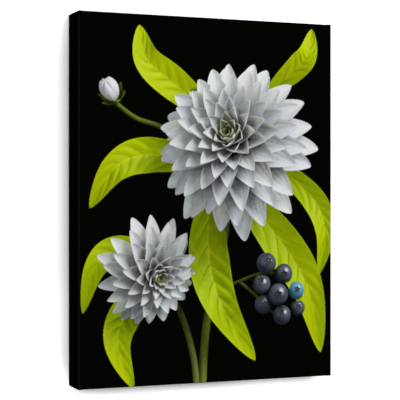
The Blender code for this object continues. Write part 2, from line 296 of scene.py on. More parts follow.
def still_life():
    """Two open flowers and a bud on long stems, broad leaves round them, and a spray of berries."""
    groups = [
        leaf([(30, 20, -44), (90, -50, -16), (124, -104, -4), (140, -176, -30)], 27, 0.42, 11),
        leaf([(0, 10, -44), (-2, -60, -16), (14, -118, 4), (56, -182, -22)], 27, 0.38, 12),
        leaf([(0, 40, -44), (-70, 50, -18), (-112, 36, -6), (-142, -8, -28)], 22, 0.42, 13),
        leaf([(10, 90, -44), (-42, 128, -16), (-76, 156, -4), (-84, 192, -30)], 21, 0.40, 14),
        leaf([(-56, -70, -44), (-96, -118, -16), (-110, -156, -6), (-92, -206, -26)], 21, 0.40, 15),
        leaf([(70, 50, -48), (128, 4, -22), (146, -36, -14), (138, -86, -34)], 17, 0.42, 16),
        leaf([(-60, -60, -44), (-110, -54, -14), (-136, -74, -8), (-150, -122, -28)], 17, 0.42, 17),
        leaf([(70, 120, -48), (110, 154, -20), (124, 172, -14), (128, 198, -30)], 16, 0.42, 18),
        stem([(-62, -74, -30), (-34, -130, -28), (-20, -176, -24), (-16, -215, -20)], 3.2, 3.8, 21),
        stem([(30, 56, -34), (16, -50, -36), (-4, -136, -34), (-10, -215, -30)], 4.2, 4.8, 22),
        stem([(6, 30, -40), (-50, 76, -34), (-88, 90, -26), (-112, 106, -10)], 2.8, 2.2, 23),
        stem([(6, -104, -32), (36, -92, -14), (62, -84, -6), (92, -84, -6)], 1.9, 1.3, 24),
        stem([(36, -92, -14), (56, -108, -10), (72, -124, -6), (88, -134, -8)], 1.6, 1.1, 25),
        bloom((30, 66, 20), 105, 105, (-16, -20), 20, 1),
        bloom((-70, -80, 14), 66, 75, (28, 16), 70, 2),
        bud((-112, 108, -8), 38, (-30, -42), 3),
    ]
    spray = [
        (70, -72, 8, 12, 0), (92, -84, 4, 11, 0), (64, -96, 8, 11, 0), (85, -108, 10, 12.5, 0),
        (108, -104, 2, 10, 1), (66, -119, 4, 10.5, 0), (90, -132, 2, 11, 0), (110, -124, -2, 9, 0),
    ]
    groups += [berry((x, y, z), r, 31 + i, tone) for i, (x, y, z, r, tone) in enumerate(spray)]
    return [thing for group in groups for thing in group]


def lamps(seed=3):
    """(direction, strength, share that glints): a soft key from the upper right, a little from the left, a rim from behind, and light from all round."""
    rng = np.random.default_rng(seed)
    made = []

    def cone(middle, spread, count, total, glint):
        f = axes_of(middle)
        for k in range(count):
            r = math.sqrt((k + 0.5) / count) * math.tan(math.radians(spread))
            a = k * 2.39996 + rng.uniform(0, 0.2)
            d = f[2] + f[0] * r * math.cos(a) + f[1] * r * math.sin(a)
            made.append((d / np.linalg.norm(d), total / count, glint))

    cone((0.62, 0.66, 0.60), 18, 22, 1.02, 1.0)
    cone((-0.80, 0.30, 0.52), 26, 10, 0.16, 0.25)
    cone((-0.25, 0.60, -0.72), 20, 8, 0.55, 0.0)
    for k in range(22):
        z = 1 - (k + 0.5) / 22 * 1.05
        a = k * 2.39996 + 1.0
        r = math.sqrt(max(0.0, 1 - z * z))
        d = np.array([r * math.cos(a), r * math.sin(a), z])
        made.append((d, 0.36 / 22 * (1.1 + 0.6 * r * math.sin(a)), 0.0))
    return made


def axes_of(direction):
    w = np.array(direction, float)
    w /= np.linalg.norm(w)
    a = np.cross([0.0, 1.0, 0.2], w)
    a /= np.linalg.norm(a)
    return np.stack([a, np.cross(w, a), w]).astype(np.float32)


def tops_along(points, axes, cell):
    """How near the lamp the nearest surface comes, on a grid across the lamp's direction."""
    q = points @ axes.T
    low = q[:, :2].min(0)
    ij = np.floor((q[:, :2] - low) / cell).astype(np.int64)
    nx, ny = ij.max(0) + 2
    order = np.argsort(q[:, 2], kind="stable")
    top = np.full(nx * ny, -1e9, np.float32)
    top[(ij[:, 1] * nx + ij[:, 0])[order]] = q[order, 2]
    return top.reshape(ny, nx), low


def reached(top, low, axes, cell, p, bias):
    """How much of the lamp each point sees, 0 to 1, with soft edges."""
    q = p @ axes.T
    f = (q[:, :2] - low) / cell - 0.5
    i = np.floor(f).astype(np.int64)
    t = f - i
    ny, nx = top.shape
    out = np.zeros(len(p), np.float32)
    for dx in (0, 1):
        for dy in (0, 1):
            x = np.clip(i[:, 0] + dx, 0, nx - 1)
            y = np.clip(i[:, 1] + dy, 0, ny - 1)
            share = (t[:, 0] if dx else 1 - t[:, 0]) * (t[:, 1] if dy else 1 - t[:, 1])
            out += share * np.clip(1 - (top[y, x] - q[:, 2] - bias) / 0.8, 0, 1)
    return out


def nearest(things, nx, ny, sx, sy, step):
    """What is seen at each sample: its height, normal, place on its thing, and which thing."""
    height = np.full(nx * ny, -1e9, np.float32)
    normal = np.zeros((nx * ny, 3), np.float32)
    place = np.zeros((nx * ny, 2), np.float32)
    which = np.full(nx * ny, -1, np.int32)
    for i, thing in enumerate(things):
        u, v, p = thing.points(step)
        n = unit(np.cross(np.gradient(p, axis=0), np.gradient(p, axis=1)))
        x = np.floor((p[..., 0] + FACE_W / 2) / sx).astype(np.int64)
        y = np.floor((p[..., 1] + FACE_H / 2) / sy).astype(np.int64)
        ok = (x >= 0) & (x < nx) & (y >= 0) & (y < ny)
        idx = (y * nx + x)[ok]
        z = p[..., 2][ok].astype(np.float32)
        near = z > height[idx]
        idx, z = idx[near], z[near]
        order = np.argsort(z, kind="stable")
        idx, z = idx[order], z[order]
        height[idx] = z
        normal[idx] = n[ok][near][order]
        place[idx, 0] = u[ok][near][order]
        place[idx, 1] = v[ok][near][order]
        which[idx] = i
    return height, normal, place, which


def blend(a, b, t):
    t = np.clip(t, 0, 1)[:, None]
    return a * (1 - t) + b * t


def finish_of(kinds, seeds, tones, u, v):
    """For each sample: its colour, what light it lets through, and how strong and how narrow its glint is."""
    n = len(kinds)
    colour, through = np.zeros((n, 3)), np.zeros((n, 3))
    gloss, power = np.zeros(n, np.float32), np.full(n, 20.0, np.float32)

    m = kinds == "petal"
    uu, vv, tt, ss = u[m], v[m], tones[m], seeds[m]
    c = blend(linear(236, 241, 250) * np.ones((m.sum(), 1)), linear(226, 226, 206), 0.45 * (1 - uu) + 0.20 * hash01(ss, 1))
    heart = np.clip(1.0 - tt * 7.0, 0, 1)
    c = blend(c, linear(206, 216, 120), np.clip(0.75 * (1 - uu / 0.5), 0, 1) * 0.55 + 0.75 * heart)
    vein = 0.5 + 0.5 * np.cos(2 * np.pi * (9 * vv * (1 - 0.25 * uu) + 0.4 * np.sin(3 * uu)))
    c = c * (1 - 0.050 * vein**2 * np.sin(np.pi * uu))[:, None]
    c = c * (1 - 0.07 * hash01(ss, 2)[:, None] * np.array([1.0, 0.75, 0.6]))
    colour[m], through[m] = c, c * linear(232, 236, 205) * 0.55
    gloss[m], power[m] = 0.025, 12

    m = kinds == "leaf"
    uu, av, ss = u[m], np.abs(v[m]), seeds[m]
    pale = linear(204, 219, 30)
    veins = 6 + 4 * hash01(ss, 4)
    f = np.cos(2 * np.pi * (veins * uu - 1.6 * av))
    c = blend(
        linear(184, 208, 3) * np.ones((m.sum(), 1)), linear(138, 169, 2),
        0.30 + 0.45 * hash01(ss, 5) + 0.30 * f * (1 - av) - 0.35 * uu,
    )
    side = np.exp(-(((veins * uu - 1.6 * av - 0.25) % 1.0 - 0.25) ** 2) / 0.0045) * (1 - av) ** 0.6
    c = blend(c, pale, 0.50 * side)
    c = blend(c, pale, 0.95 * np.exp(-((av / 0.045) ** 2)))
    c = blend(c, pale, 0.5 * np.clip((av - 0.93) / 0.05, 0, 1))
    fine = 0.5 + 0.5 * np.sin(av * 90 + 31 * np.sin(uu * 60)) * np.sin(uu * 210)
    c = c * (1 - 0.06 * fine)[:, None]
    colour[m], through[m] = c, blend(c, linear(205, 225, 10), np.full(len(uu), 0.6)) * 0.75
    gloss[m], power[m] = 0.032, 22

    m = kinds == "sepal"
    colour[m] = blend(
        linear(150, 176, 24) * np.ones((m.sum(), 1)), linear(92, 120, 22), 0.6 * (1 - u[m]) + 0.3 * np.abs(v[m])
    )
    gloss[m], power[m] = 0.05, 20

    m = kinds == "stem"
    colour[m] = blend(
        linear(128, 150, 30) * np.ones((m.sum(), 1)), linear(96, 92, 60),
        hash01(seeds[m], 6) * 0.5 + 0.3 * np.sin(v[m] * 20) ** 2,
    )
    gloss[m], power[m] = 0.05, 20

    m = kinds == "berry"
    base = blend(linear(58, 66, 80) * np.ones((m.sum(), 1)), linear(92, 168, 196), tones[m])
    misty = 0.5 + 0.5 * np.sin(2 * np.pi * u[m] + 2 * v[m] + seeds[m]) * np.sin(5 * v[m] + 2 * np.sin(2 * np.pi * u[m]))
    colour[m] = blend(base, linear(138, 150, 166), 0.34 * misty * (1 - 0.5 * tones[m]))
    gloss[m], power[m] = 0.42, 60

    m = kinds == "star"
    colour[m], gloss[m] = linear(52, 52, 48), 0.03
    return colour, through, gloss, power


def draw_picture(things, coarse):
    """The picture in linear light, (NY, NX, 3), its first row at the foot. Where nothing is seen it is black."""
    k = 2 if coarse else 1
    nx, ny = NX // k, NY // k
    sx, sy = FACE_W / nx, FACE_H / ny
    height, normal, place, which = nearest(things, nx, ny, sx, sy, sx * (0.66 if coarse else 0.62))
    hit = np.flatnonzero(which >= 0)
    p = np.stack(
        [(hit % nx + 0.5) * sx - FACE_W / 2, (hit // nx + 0.5) * sy - FACE_H / 2, height[hit]], -1
    ).astype(np.float32)
    n = normal[hit]
    n = np.where(n[:, 2:3] < 0, -n, n)
    kinds = np.array([t.kind for t in things])[which[hit]]
    seeds = np.array([t.seed for t in things])[which[hit]]
    tones = np.array([t.tone for t in things])[which[hit]]
    colour, through, gloss, power = finish_of(kinds, seeds, tones, place[hit, 0], place[hit, 1])
    wrap = np.where(kinds == "petal", 0.38, np.where(kinds == "leaf", 0.15, 0.05)).astype(np.float32)
    thin = through.max(1) > 0
    cell = 1.1
    cloud = np.concatenate([t.points(0.72)[2].reshape(-1, 3) for t in things]).astype(np.float32)

    def one_lamp(lamp):
        """What one lamp gives: the samples it may reach with their light and glint, and those it shines through."""
        direction, strength, glint = lamp
        axes = axes_of(direction)
        top, low = tops_along(cloud, axes, cell)
        facing = n @ axes[2]
        on = np.flatnonzero(facing > -wrap)
        seen = (strength * reached(top, low, axes, cell, p[on] + n[on] * 0.5, 0.9)).astype(np.float32)
        lit = seen * (facing[on] + wrap[on]) / (1 + wrap[on])
        behind = np.flatnonzero((facing < 0) & thin)
        back = reached(top, low, axes, cell, p[behind] - n[behind] * 0.5, 0.9) * strength * -facing[behind]
        bright = 0
        if glint:
            h = axes[2] + np.array([0, 0, 1], np.float32)
            h /= np.linalg.norm(h)
            bright = glint * seen * np.clip(n[on] @ h, 0, 1) ** power[on] * (power[on] + 8) / 25
        return on, lit, seen * (facing[on] > 0), bright, behind, back

    direct, passed, shine, sky = (np.zeros(len(hit), np.float32) for _ in range(4))
    lit_by = lamps()
    with ThreadPoolExecutor(4) as pool:
        for on, lit, seen, bright, behind, back in pool.map(one_lamp, lit_by):
            direct[on] += lit
            sky[on] += seen
            passed[behind] += back
            shine[on] += bright
    open_to = np.clip(sky / sum(0.5 * strength for _, strength, _ in lit_by), 0, 1)
    light = colour * direct[:, None] + through * passed[:, None]
    # what petals pass between themselves, and a little of the leaves' colour from below
    light = light + colour**2 * (0.24 * (1 - open_to) * open_to**0.5)[:, None]
    under = np.clip(0.35 - 0.55 * n[:, 1] - 0.25 * n[:, 2], 0, 1) * (kinds == "petal")
    light = light + colour * linear(196, 206, 90) * (0.050 * under * (0.3 + open_to))[:, None]
    light = light + (gloss * shine)[:, None]
    petals = (kinds == "petal")[:, None]
    light = light * np.where(petals, 1.05, 0.92)
    light = light / (1 + (light / 0.95) ** 4) ** 0.25  # an ink's soft shoulder
    out = np.zeros((nx * ny, 3))
    out[hit] = light
    return out.reshape(ny, nx, 3).repeat(k, 0).repeat(k, 1)


# ---------------------------------------------------------------------------
# The cloth: one closed skin that is folded round the bars and carries the ink
# ---------------------------------------------------------------------------

ROWS, COLS = NY // 2 + 1, NX // 2 + 1  # lattice points up and across the front
LARGEST = 32  # lattice steps along the largest cell
PRINT = 0.865  # ink on cloth gives back this much of the picture's light
BLACK = np.array([0.00136, 0.00150, 0.00064])  # on the front
LEFT_SHADE_BLACK = np.array([0.00086, 0.00086, 0.00072])  # on the left side: painted shade, the same black ink made darker here than on the front and the other sides
LIGHTER_BLACK = np.array([0.0058, 0.0057, 0.0053])  # on the other sides and the back, lighter than on the front and the left side
BARE = np.array([0.66, 0.635, 0.57])  # primed cloth that took no ink
FOLD_HIGHLIGHT_INK = np.array([0.0120, 0.0117, 0.0105])  # a lighter band round the front fold: painted highlight on the rounded edge, together with ink thinned by the fold


def smoothstep(a, b, x):
    t = np.clip((x - a) / (b - a), 0, 1)
    return t * t * (3 - 2 * t)


def on_lattice(picture):
    """The mean of the four samples round each lattice point."""
    wide = np.pad(picture, ((1, 1), (1, 1), (0, 0)), mode="edge")
    return (wide[0::2, 0::2] + wide[1::2, 0::2] + wide[0::2, 1::2] + wide[1::2, 1::2]) / 4


def cells_for(colours, budget):
    """Square cells, small where the picture has detail, as {size: flags}. Each holds about the same error."""
    tone = srgb(colours)
    errors = {}
    size = LARGEST
    while size >= 2:
        ny, nx = (ROWS - 1) // size, (COLS - 1) // size

        def at(b, a):
            return tone[b : b + (ny - 1) * size + 1 : size, a : a + (nx - 1) * size + 1 : size]

        total = np.zeros((ny, nx))
        for b in range(size + 1):
            for a in range(size + 1):
                y, x = b / size, a / size
                guess = (at(0, 0) * (1 - x) + at(0, size) * x) * (1 - y)
                guess = guess + (at(size, 0) * (1 - x) + at(size, size) * x) * y
                total += ((guess - at(b, a)) ** 2).sum(-1)
        errors[size] = total
        size //= 2

    def split(limit):
        flags, size = {}, LARGEST
        alive = np.ones(errors[LARGEST].shape, bool)
        while size > 1:
            cut = alive & (errors[size] > limit)
            flags[size] = alive & ~cut
            alive = cut.repeat(2, 0).repeat(2, 1)
            size //= 2
        flags[1] = alive
        return flags

    low, high = 1e-7, 1e2
    for _ in range(30):
        limit = math.sqrt(low * high)
        if sum(f.sum() for f in split(limit).values()) > budget:
            low = limit
        else:
            high = limit
    return split(high)


def staple_marks():
    """Where staples hold the cloth, along X on the top and bottom and along Z on the sides."""
    marks = {"top": [], "bottom": [], "left": [], "right": []}
    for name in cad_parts:
        kind, _, rest = name.partition("_")
        side = rest.split("_")[0]
        if kind == "staple" and side in marks:
            low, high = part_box(name)
            middle = (low + high) / 2
            marks[side].append(middle.x - X_MID if side in ("top", "bottom") else middle.z - Z_MID)
    return {side: np.array(sorted(at)) for side, at in marks.items()}


SIDES = (
    # name, way out, way along, in (X, Z), counter-clockwise as seen from the front
    ("bottom", (0, -1), (1, 0)),
    ("right", (1, 0), (0, 1)),
    ("top", (0, 1), (-1, 0)),
    ("left", (-1, 0), (0, -1)),
)


def half_sizes(side):
    """Half of the outline across the way out of this side, and half along it."""
    return (Z_HALF, X_HALF) if side in ("top", "bottom") else (X_HALF, Z_HALF)


def section():
    """The cloth's path round a bar, as rows of (kind, inset from the outline, depth behind the front, length so far)."""
    rows = [("front", FRONT_R, 0.0)]
    for i in range(1, 5):
        a = math.radians(22.5 * i)
        rows.append(("bend", FRONT_R * (1 - math.sin(a)), FRONT_R * (1 - math.cos(a))))
    for t in np.linspace(FRONT_R, DEPTH - BACK_R, 11)[1:]:
        rows.append(("side", 0.0, t))
    for i in range(1, 4):
        a = math.radians(30 * i)
        rows.append(("back", BACK_R * (1 - math.cos(a)), DEPTH - BACK_R * (1 - math.sin(a))))
    for o in (2.6, 4.8, 7.2, 9.6, 12.4, 12.8, 14.8, 17.0, 19.0):
        rows.append(("ink" if o * MM < INK_OVER else "bare", o * MM, DEPTH))
    rows.append(("rim", FOLD, DEPTH - CLOTH))
    for o in (12.0 * MM, 5.0 * MM, BACK_R):
        rows.append(("under", o, DEPTH - CLOTH))
    rows.append(("under", CLOTH, DEPTH - BACK_R))
    rows.append(("under", CLOTH, DEPTH / 2))
    rows.append(("under", CLOTH, FRONT_R))
    rows.append(("under", FRONT_R - (FRONT_R - CLOTH) * math.sin(math.radians(45)),
                 FRONT_R - (FRONT_R - CLOTH) * math.cos(math.radians(45))))
    rows.append(("under", FRONT_R, CLOTH))
    out, run = [], 0.0
    for k, (kind, o, t) in enumerate(rows):
        if k:
            run += math.hypot(o - rows[k - 1][1], t - rows[k - 1][2])
        out.append((kind, o, t, run))
    return out


def relief(side, kind, along, corner, o, t, marks):
    """How far the cloth stands off its plain shape: out from the side, and towards the wall. Arrays over the stations, in metres."""
    half_out, half = half_sizes(side)
    s = half - np.abs(along)  # from the corner
    out = np.zeros_like(along)
    back = np.zeros_like(along)
    flap = side in ("top", "bottom")
    if kind in ("bend", "side", "back") and flap:
        # the corner's spare cloth lies under this side, in a wedge that grows towards the back
        edge = smoothstep(0.5 * MM, 1.5 * MM, s)
        wedge = 1 - smoothstep(t - 1.5 * MM, t + 1.6 * MM, s)
        out += 0.75 * MM * edge * wedge * (1 - 0.5 * smoothstep(32 * MM, DEPTH, t))
    if kind in ("side", "bend"):
        # tension lines, very slight
        out += 0.05 * MM * np.sin(along / (31 * MM) + 1.3 * half) * np.sin(np.pi * np.clip(t / DEPTH, 0, 1))
    if kind in ("ink", "bare", "rim", "under") and t > DEPTH - 2 * CLOTH:
        lift = smoothstep(0.4 * MM, 2.4 * MM, o)
        if kind != "under":
            if flap:
                # folded corner, cloth over cloth
                back += 1.05 * MM * (1 - smoothstep(13.5 * MM, 19.5 * MM, s)) * lift * np.where(corner == 2, 0.25, 1.0)
            else:
                back += 0.22 * MM * (1 - smoothstep(15 * MM, 22 * MM, s)) * lift
        if kind in ("ink", "bare", "rim") and len(marks) > 1:
            # the cloth is flat under each staple and rises a little between two
            mid = (marks[1:] + marks[:-1]) / 2
            gap = np.diff(marks)
            for m, g in zip(mid, gap):
                x = np.clip((along - m) / g, -0.5, 0.5)
                back += 0.34 * MM * np.cos(np.pi * x) ** 2 * smoothstep(3 * MM, 14 * MM, o)
            back += 0.07 * MM * np.sin(along / (5.3 * MM)) * smoothstep(6 * MM, 17 * MM, o)
    return out, back


def uv_boxes():
    """Where each part of the cloth lies on the square that finishes are baked to: (u0, v0, u1, v1)."""
    boxes = {"front": (0.01, 0.01, 0.74, 0.985), "reverse": (0.752, 0.01, 0.992, 0.33)}
    for k, (side, _, _) in enumerate(SIDES):
        u, v = 0.752 + 0.125 * (k % 2), k // 2
        boxes[side, "outer"] = (u, 0.510 + 0.243 * v, u + 0.115, 0.742 + 0.243 * v)
        boxes[side, "inner"] = (u, 0.345 + 0.080 * v, u + 0.115, 0.418 + 0.080 * v)
    return boxes


def make_cloth(picture):
    colours = on_lattice(picture)
    flags = cells_for(colours, 62000)

    used = np.zeros((ROWS, COLS), bool)
    for size, cells in flags.items():
        j, i = np.nonzero(cells)
        for dj in (0, size):
            for di in (0, size):
                used[j * size + dj, i * size + di] = True
    near = [1, 2, 3, 4, 6, 8, 10, 12, 14, 16, 20, 24, 28, 32, 40, 48, 56, 64]
    for i in near + list(range(64, COLS - 64, 16)) + [COLS - 1 - k for k in near]:
        used[0, i] = used[-1, i] = True
    for j in near + list(range(64, ROWS - 64, 16)) + [ROWS - 1 - k for k in near]:
        used[j, 0] = used[j, -1] = True
    number = np.full(used.shape, -1)
    number[used] = np.arange(used.sum())
    jj, ii = np.nonzero(used)
    flat_x = (X_HALF - FRONT_R) * (2 * ii / (COLS - 1) - 1)
    flat_z = (Z_HALF - FRONT_R) * (2 * jj / (ROWS - 1) - 1)
    points = [np.stack([flat_x, np.zeros_like(flat_x), flat_z], -1)]
    inks = [colours[jj, ii] * PRINT + BLACK]
    count = len(jj)

    # faces: per loop the vertex, its place on the bake, its place on the cut cloth, its normal; per face its size and slot
    loops, bakes, cuts, normals, sizes, slots = [], [], [], [], [], []
    boxes = uv_boxes()

    def put_front(j, i, face_sizes):
        j, i = np.asarray(j), np.asarray(i)
        u0, v0, u1, v1 = boxes["front"]
        loops.append(number[j, i])
        x, z = 2 * i / (COLS - 1) - 1, 2 * j / (ROWS - 1) - 1
        bakes.append(np.stack([u0 + (u1 - u0) * (x + 1) / 2, v0 + (v1 - v0) * (z + 1) / 2], -1))
        cuts.append(np.stack([x * (X_HALF - FRONT_R), z * (Z_HALF - FRONT_R)], -1))
        normals.append(np.tile((0.0, -1.0, 0.0), (len(i), 1)))
        sizes.append(np.asarray(face_sizes))
        slots.append(np.zeros(len(face_sizes), int))

    j, i = np.nonzero(flags[1])
    put_front(
        np.stack([j, j, j + 1, j + 1], -1).ravel(), np.stack([i, i + 1, i + 1, i], -1).ravel(), np.full(len(j), 4)
    )
    many_j, many_i, many_n = [], [], []
    for size in sorted(flags):
        if size == 1:
            continue
        for j0, i0 in zip(*(k * size for k in np.nonzero(flags[size]))):
            j1, i1 = j0 + size, i0 + size
            foot = np.flatnonzero(used[j0, i0:i1]) + i0
            right = np.flatnonzero(used[j0:j1, i1]) + j0
            head = i1 - np.flatnonzero(used[j1, i0 + 1 : i1 + 1][::-1])
            left = j1 - np.flatnonzero(used[j0 + 1 : j1 + 1, i0][::-1])
            many_j += [np.full(len(foot), j0), right, np.full(len(head), j1), left]
            many_i += [foot, np.full(len(right), i1), head, np.full(len(left), i0)]
            many_n.append(len(foot) + len(right) + len(head) + len(left))
    put_front(np.concatenate(many_j), np.concatenate(many_i), many_n)

    # stations round the outline, and rows from the front's edge to the reverse
    rows = section()
    marks = staple_marks()
    rim = next(k for k, row in enumerate(rows) if row[0] == "rim")
    step = FRONT_R * math.pi / 8
    sides = []
    for name, way_out, way_on in SIDES:
        if name in ("bottom", "top"):
            line = np.flatnonzero(used[0 if name == "bottom" else -1])
            half = X_HALF - FRONT_R
            at = half * (2 * line / (COLS - 1) - 1)
            keys = [(0 if name == "bottom" else ROWS - 1, i) for i in line]
        else:
            line = np.flatnonzero(used[:, -1 if name == "right" else 0])
            half = Z_HALF - FRONT_R
            at = half * (2 * line / (ROWS - 1) - 1)
            keys = [(j, COLS - 1 if name == "right" else 0) for j in line]
        if name in ("top", "left"):
            at, keys = -at[::-1], keys[::-1]
        # at the corners: half of the bend before the side, and half after it
        angle = [-45, -22.5, 0] + [0] * (len(at) - 2) + [0, 22.5, 45]
        along = np.concatenate([[at[0]] * 2, at, [at[-1]] * 2])
        reach = np.concatenate([[at[0] - 2 * step, at[0] - step], at, [at[-1] + step, at[-1] + 2 * step]])
        keys = [keys[0]] * 2 + keys + [keys[-1]] * 2
        corner = np.zeros(len(along), int)
        corner[[0, -1]] = 2
        corner[[1, -2]] = 1
        sides.append((name, np.array(way_out), np.array(way_on), np.radians(angle), along, reach, keys, corner))

    # the last station of one side is the first of the next, so it is left to the next
    ring_size = sum(len(side[4]) - 1 for side in sides)
    grid = np.zeros((len(rows), ring_size), int)
    grid[0] = np.concatenate([[number[key] for key in side[6][:-1]] for side in sides])
    for r, (kind, o, t, _) in enumerate(rows[1:], 1):
        ring, ink = [], []
        for name, way_out, way_on, angle, along, reach, keys, corner in sides:
            half_out, half = half_sizes(name)
            # the rim is cut by hand, and the ink's edge runs a little off square
            wander = {"bottom": 0.3, "right": -0.25, "top": -0.4, "left": 0.35}[name]
            o_here = np.full(len(along), o)
            share = np.clip(along / half, -1, 1) * (1 - smoothstep(half - 24 * MM, half - 4 * MM, np.abs(along)))
            if kind in ("bare", "rim", "ink") and o > 8 * MM:
                o_here = o_here + share * wander * MM
            if kind in ("rim", "bare") and o > 18 * MM:
                ease = 1 - smoothstep(half - 30 * MM, half - 20 * MM, np.abs(along))
                o_here = o_here + 0.16 * MM * ease * (np.sin(along / (9 * MM)) + 0.6 * np.sin(along / (3.7 * MM) + 2))
            rho = np.maximum(CORNER_R * (1 - o_here / FRONT_R), 0.3 * MM)
            reach_half = half - o_here - rho
            middle = along / (half - FRONT_R) * reach_half
            out, back = relief(name, kind, middle + np.sign(middle) * rho * np.abs(np.sin(angle)), corner, o, t, marks[name])
            away = half_out - o_here - rho + rho * np.cos(angle) + out
            on = middle + rho * np.sin(angle)
            flat = away[:, None] * way_out + on[:, None] * way_on
            ring.append(np.stack([flat[:, 0], t + back, flat[:, 1]], -1)[:-1])
            if kind in ("bare", "rim", "under"):
                tone = np.tile(BARE, (len(keys), 1))
            else:
                # the left side's black is darkened as painted shade; the other sides and the back take the lighter
                # black
                tone = np.tile(LIGHTER_BLACK if kind == "ink" or name != "left" else LEFT_SHADE_BLACK, (len(keys), 1))
            if kind == "bend":
                if r < 3:  # the picture stops half way round the fold
                    tone = np.array([colours[key] for key in keys]) * PRINT + BLACK
                # the middle rows of the front bend are made lighter: a painted highlight along the rounded edge
                tone = tone + (FOLD_HIGHLIGHT_INK - tone) * (0, 0.0, 0.45, 1.0, 0.5)[r]
            ink.append(tone[:-1])
        points.append(np.concatenate(ring))
        inks.append(np.concatenate(ink))
        grid[r] = count + np.arange(ring_size)
        count += ring_size
    points = np.concatenate(points)
    inks = np.concatenate(inks)

    # quads between rows, and triangles where a corner's stations meet in one point
    a = grid[:-1]
    b = grid[1:]
    quads = np.stack([a, b, np.roll(b, -1, 1), np.roll(a, -1, 1)], -1)
    edges = points[quads]
    face_normal = unit(np.cross(edges[:, :, 2] - edges[:, :, 0], edges[:, :, 3] - edges[:, :, 1]) * 1e6)

    def smooth_over(which):
        total = np.zeros((len(points), 3))
        area = np.cross(edges[which][:, :, 2] - edges[which][:, :, 0], edges[which][:, :, 3] - edges[which][:, :, 1])
        for k in range(4):
            np.add.at(total, quads[which][:, :, k].ravel(), area.reshape(-1, 3))
        return unit(total * 1e6)

    outer = smooth_over(slice(0, rim - 1))
    outer[grid[0]] = (0.0, -1.0, 0.0)
    inner = smooth_over(slice(rim, len(rows) - 1))
    runs = np.array([row[3] for row in rows])
    start = 0
    for name, way_out, way_on, angle, along, reach, keys, corner in sides:
        half_out, half = half_sizes(name)
        spans = len(along) - 1
        low, high = reach[0], reach[-1]
        for r in range(len(rows) - 1):
            u0, v0, u1, v1 = boxes[name, "outer" if r < rim - 1 else "inner"]
            first, last = (0.0, runs[rim - 1]) if r < rim - 1 else (runs[rim - 1], runs[-1])
            for k0, k1 in ((0, 2), (2, spans - 2), (spans - 2, spans)):
                k = np.arange(k0, k1)
                face = quads[r, (start + k) % ring_size]
                on = np.stack([reach[k], reach[k], reach[k + 1], reach[k + 1]], -1)
                run = np.tile([runs[r], runs[r + 1], runs[r + 1], runs[r]], (len(k), 1))
                if r < rim - 1:
                    normal = outer[face]
                elif r == rim - 1:
                    normal = np.repeat(face_normal[r, (start + k) % ring_size][:, None], 4, 1)
                else:
                    normal = inner[face]
                if r == 0 and k0 != 2:
                    # the front's corner: one point for both stations
                    on[:, 0] = on[:, 3] = (reach[k] + reach[k + 1]) / 2
                    keep = [0, 1, 2]
                else:
                    keep = [0, 1, 2, 3]
                face, on, run, normal = face[:, keep], on[:, keep], run[:, keep], normal[:, keep]
                loops.append(face.ravel())
                bakes.append(np.stack([
                    u0 + (u1 - u0) * ((run - first) / (last - first)).ravel(),
                    v0 + (v1 - v0) * ((on - low) / (high - low)).ravel(),
                ], -1))
                cut = (half_out - FRONT_R + run.reshape(-1, 1)) * way_out + on.reshape(-1, 1) * way_on
                cuts.append(cut)
                normals.append(normal.reshape(-1, 3))
                sizes.append(np.full(len(k), len(keep)))
                slots.append(np.full(len(k), 0 if r < rim else 1))
        start += spans

    # the reverse, seen between the bars
    last = grid[-1][::-1]
    u0, v0, u1, v1 = boxes["reverse"]
    x, z = points[last, 0], points[last, 2]
    loops.append(last)
    bakes.append(np.stack([u0 + (u1 - u0) * (x / X_HALF + 1) / 2, v0 + (v1 - v0) * (z / Z_HALF + 1) / 2], -1))
    cuts.append(np.stack([x, z], -1))
    normals.append(np.tile((0.0, 1.0, 0.0), (len(last), 1)))
    sizes.append(np.array([len(last)]))
    slots.append(np.array([1]))

    loops, sizes = np.concatenate(loops), np.concatenate(sizes)
    mesh = bpy.data.meshes.new("canvas_print")
    mesh.vertices.add(len(points))
    points = points + np.array([X_MID, Y_FRONT, Z_MID])
    mesh.vertices.foreach_set("co", points.astype(np.float32).ravel())
    mesh.loops.add(len(loops))
    mesh.loops.foreach_set("vertex_index", loops.astype(np.int32))
    mesh.polygons.add(len(sizes))
    mesh.polygons.foreach_set("loop_start", (np.cumsum(sizes) - sizes).astype(np.int32))
    mesh.polygons.foreach_set("material_index", np.concatenate(slots).astype(np.int32))
    mesh.update(calc_edges=True)
    for name, values in (("OFBake", bakes), ("Cut", cuts)):
        layer = mesh.uv_layers.new(name=name)
        layer.uv.foreach_set("vector", np.concatenate(values).astype(np.float32).ravel())
    ink = mesh.attributes.new("print", "FLOAT_COLOR", "POINT")
    ink.data.foreach_set("color", np.hstack([inks, np.ones((len(inks), 1))]).astype(np.float32).ravel())
    mesh.shade_smooth()
    mesh.normals_split_custom_set(np.concatenate(normals).astype(np.float32))
    mesh.validate(verbose=False)
    obj = bpy.data.objects.new("canvas_print", mesh)
    SCENE.collection.objects.link(obj)
    return obj


# ---------------------------------------------------------------------------
# Finishes
# ---------------------------------------------------------------------------


